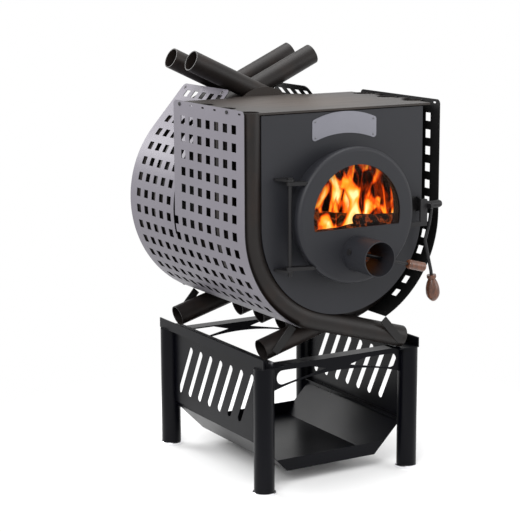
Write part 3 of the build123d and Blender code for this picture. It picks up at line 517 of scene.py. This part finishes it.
class STOVE_OT_flames(bpy.types.Operator):
    """Makes the flames as three waving sheets that glow"""

    bl_idname = "stove.flames"
    bl_label = "Make Flames"

    def execute(self, context):
        sizes = context.scene.stove_fire
        low = SILL_Z + sizes.log_height - 0.05
        # Depth behind the front plate, left and right ends, share of the height, start of the pattern
        sheets = [
            (0.090, -0.150, 0.235, 0.95, 2.0),
            (0.160, -0.190, 0.240, 1.0, 6.0),
            (0.235, -0.200, 0.242, 1.0, 9.0),
        ]
        for number, (depth, left, right, share, seed) in enumerate(sheets):
            height = sizes.flame_height * share + 0.05
            clear_selection()
            bpy.ops.mesh.primitive_grid_add(
                x_subdivisions=48, y_subdivisions=36, size=1.0,
                location=((left + right) / 2, FRONT_Y + depth, low + height / 2),
                rotation=(pi / 2, 0.0, 0.0))
            piece = bpy.context.active_object
            piece.scale = (right - left, height, 1.0)
            bpy.ops.object.transform_apply(location=True, rotation=True, scale=True)
            wind = bpy.data.textures.new(f"flame_wind_{number}", "CLOUDS")
            wind.noise_scale = 0.16
            shape = piece.modifiers.new("wind", "DISPLACE")
            shape.texture = wind
            shape.texture_coords = "GLOBAL"
            shape.strength = 0.05
            apply_modifiers(piece)
            material = self.burning(number, seed, low, height, sizes.glow)
            settle(f"flame_sheet_{number + 1}", material, "stove", 60.0)
        return {"FINISHED"}

    def burning(self, number, seed, low, height, glow):
        """Tongues of flame that thin out and redden as they rise."""
        finish = Finish(f"flame_{number + 1}")
        rise = (finish.z - low) / height
        tongues = finish.noise(
            6.0, 2.6, 0.5, stretch=(1.5, 1.0, 0.66), shift=(seed, seed, -seed), warp=1.9)
        threads = finish.noise(
            8.5, 3.0, 0.5, stretch=(1.25, 1.0, 0.45), shift=(-seed, 2.0, seed), warp=0.7)
        aside = finish.x - 0.09
        body = tongues * 4.4 - 2.06 - rise.size().power(1.4) * 0.42 - aside * aside * 9.0
        edge = threads.ridge().ramp(0.90, 0.995) * (1.0 - rise).most(0.0).power(0.5)
        heat = (body.most(0.0) * 1.25 + edge * 0.22) * (rise * 9.0).least(1.0).most(0.0)
        red = finish.mix(heat.ramp(0.02, 0.30), (0.09, 0.003, 0.0), (0.75, 0.06, 0.004))
        orange = finish.mix(heat.ramp(0.26, 0.60), red, (1.0, 0.34, 0.02))
        yellow = finish.mix(heat.ramp(0.55, 1.00), orange, (1.0, 0.82, 0.34))
        return finish.set(
            base_color=(0.0, 0.0, 0.0), roughness=1.0, specular_ior_level=0.0,
            alpha=heat.ramp(0.02, 0.40) * 0.95,
            emission_color=yellow, emission_strength=glow)


def dome(name, place, direction, radius, material, body, drive=True):
    """A low round screw head, with a sunk round drive when drive is set, standing on a surface."""
    clear_selection()
    bpy.ops.mesh.primitive_uv_sphere_add(segments=20, ring_count=10, radius=radius, location=(0, 0, 0))
    piece = bpy.context.active_object
    piece.scale = (1.0, 1.0, 0.45)
    bpy.ops.object.transform_apply(location=False, rotation=False, scale=True)
    if drive:
        bpy.ops.object.mode_set(mode="EDIT")
        bpy.ops.mesh.select_all(action="DESELECT")
        bpy.ops.object.mode_set(mode="OBJECT")
        for face in piece.data.polygons:
            face.select = face.center.z > radius * 0.42
        bpy.ops.object.mode_set(mode="EDIT")
        bpy.ops.mesh.inset(thickness=radius * 0.12, depth=-radius * 0.25)
        bpy.ops.object.mode_set(mode="OBJECT")
    turn = Vector(direction).to_track_quat("Z", "Y")
    piece.rotation_mode = "QUATERNION"
    piece.rotation_quaternion = turn
    piece.location = place
    return settle(name, material, body)


class STOVE_OT_fixings(bpy.types.Operator):
    """Makes the rivets of the badge and the corner screws of the covers"""

    bl_idname = "stove.fixings"
    bl_label = "Make Fixings"

    def execute(self, context):
        rivet = metal_paint("rivet_metal", (0.16, 0.16, 0.17), 0.35, 0.8)
        low, high = BADGE
        corners = [(-1, low[2] + 0.009), (1, low[2] + 0.009), (-1, low[2] + 0.054), (1, low[2] + 0.054)]
        for number, (side, z) in enumerate(corners):
            place = (side * (high[0] - 0.010), low[1], z)
            dome(f"badge_rivet_{number + 1}", place, (0, -1, 0), RIVET_R, rivet, "stove", False)
        screw = metal_paint("cover_screw_metal", (0.10, 0.095, 0.10), 0.35, 0.8)
        for side, name in ((-1, "left"), (1, "right")):
            self.tab_screws(side, name, screw)
            self.edge_screws(side, name, screw)
        return {"FINISHED"}

    def tab_screws(self, side, name, screw):
        """Two screws near the upper edge of a cover's flat part."""
        run = TAB_LENGTH - SCREW_INSET
        x = side * (COVER_R * cos(TAB_TURN) - run * sin(TAB_TURN))
        z = BARREL_Z + COVER_R * sin(TAB_TURN) + run * cos(TAB_TURN)
        way = (side * cos(TAB_TURN), 0.0, sin(TAB_TURN))
        rear = COVER[1][1]
        for number, y in enumerate((rear - 0.255, rear - 0.022)):
            dome(f"tab_screw_{name}_{number + 1}", (x, y, z), way, SCREW_R, screw, "stove")

    def edge_screws(self, side, name, screw):
        """Two screws near the lower edge of a cover."""
        turn = radians(61.5)
        way = (side * cos(turn), 0.0, -sin(turn))
        x = way[0] * COVER_R
        z = BARREL_Z + way[2] * COVER_R
        for number, y in enumerate((COVER[0][1] + 0.020, COVER[1][1] - 0.020)):
            dome(f"edge_screw_{name}_{number + 1}", (x, y, z), way, SCREW_R, screw, "stove")


class STOVE_OT_studio(bpy.types.Operator):
    """Makes the floor, the lights and the camera"""

    bl_idname = "stove.studio"
    bl_label = "Make Studio"

    def execute(self, context):
        sizes = context.scene.stove_studio
        clear_selection()
        bpy.ops.mesh.primitive_plane_add(size=24.0, location=(0.0, 0.0, 0.0))
        floor_finish = Finish("studio_floor")
        reach = (floor_finish.x * floor_finish.x + floor_finish.y * floor_finish.y).power(0.5)
        white = floor_finish.set(
            base_color=(0.95, 0.95, 0.95), roughness=0.8, specular_ior_level=0.0,
            alpha=1.0 - reach.ramp(0.45, 1.15))
        floor = settle("studio_floor", white)
        context.scene.view_settings.view_transform = "Standard"
        world = bpy.data.worlds.new("studio")
        context.scene.world = world
        world.use_nodes = True
        background = world.node_tree.nodes["Background"]
        background.inputs["Color"].default_value = (1.0, 1.0, 1.0, 1.0)
        background.inputs["Strength"].default_value = sizes.background
        lamps = [
            ("key", (-2.6, -2.4, 2.9), 1.8, 95.0),
            ("fill", (2.9, -2.6, 1.7), 2.2, 38.0),
            ("top", (0.2, 0.5, 3.4), 2.4, 60.0),
            ("rim", (-1.6, 2.9, 2.3), 1.4, 50.0),
        ]
        for name, place, size, power in lamps:
            bpy.ops.object.light_add(type="AREA", location=place)
            lamp = bpy.context.active_object
            lamp.name = f"studio_{name}"
            lamp.data.shape = "SQUARE"
            lamp.data.size = size
            lamp.data.energy = power
            aim = Vector((0.0, 0.0, 0.75)) - Vector(place)
            lamp.rotation_euler = aim.to_track_quat("-Z", "Y").to_euler()
        middle = Vector((0.0, -0.02, (START[0][2] + START[1][2]) / 2))
        flat = cos(sizes.elevation)
        back = Vector((sin(sizes.azimuth) * flat, -cos(sizes.azimuth) * flat, sin(sizes.elevation)))
        bpy.ops.object.camera_add(location=middle + back * sizes.distance)
        camera = bpy.context.active_object
        camera.name = "studio_camera"
        camera.rotation_euler = (-back).to_track_quat("-Z", "Y").to_euler()
        camera.data.lens = sizes.lens
        camera.data.sensor_width = 36.0
        camera.data.shift_x = sizes.shift_x
        camera.data.shift_y = sizes.shift_y
        context.scene.camera = camera
        return {"FINISHED"}


class STOVE_PT_panel(bpy.types.Panel):
    """Lists the stove's colours, sizes and operators"""

    bl_label = "Workshop Stove"
    bl_idname = "STOVE_PT_panel"
    bl_space_type = "VIEW_3D"
    bl_region_type = "UI"
    bl_category = "Stove"

    def draw(self, context):
        for group in (context.scene.stove_colours, context.scene.stove_fire, context.scene.stove_studio):
            for name in group.__annotations__:
                self.layout.prop(group, name)
        for operator in OPERATORS:
            self.layout.operator(operator.bl_idname)


OPERATORS = (
    STOVE_OT_finishes,
    STOVE_OT_logs,
    STOVE_OT_embers,
    STOVE_OT_flames,
    STOVE_OT_fixings,
    STOVE_OT_studio,
)
GROUPS = (StoveColours, FireSizes, StudioSizes)


def register():
    """Registers the groups, the operators and the panel."""
    for item in (*GROUPS, *OPERATORS, STOVE_PT_panel):
        bpy.utils.register_class(item)
    bpy.types.Scene.stove_colours = bpy.props.PointerProperty(type=StoveColours)
    bpy.types.Scene.stove_fire = bpy.props.PointerProperty(type=FireSizes)
    bpy.types.Scene.stove_studio = bpy.props.PointerProperty(type=StudioSizes)


def unregister():
    """Takes back what register added."""
    del bpy.types.Scene.stove_studio
    del bpy.types.Scene.stove_fire
    del bpy.types.Scene.stove_colours
    for item in reversed((*GROUPS, *OPERATORS, STOVE_PT_panel)):
        bpy.utils.unregister_class(item)


def main():
    """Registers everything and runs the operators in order."""
    register()
    bpy.ops.stove.finishes()
    bpy.ops.stove.logs()
    bpy.ops.stove.embers()
    bpy.ops.stove.flames()
    bpy.ops.stove.fixings()
    bpy.ops.stove.studio()


if __name__ == "__main__":
    main()
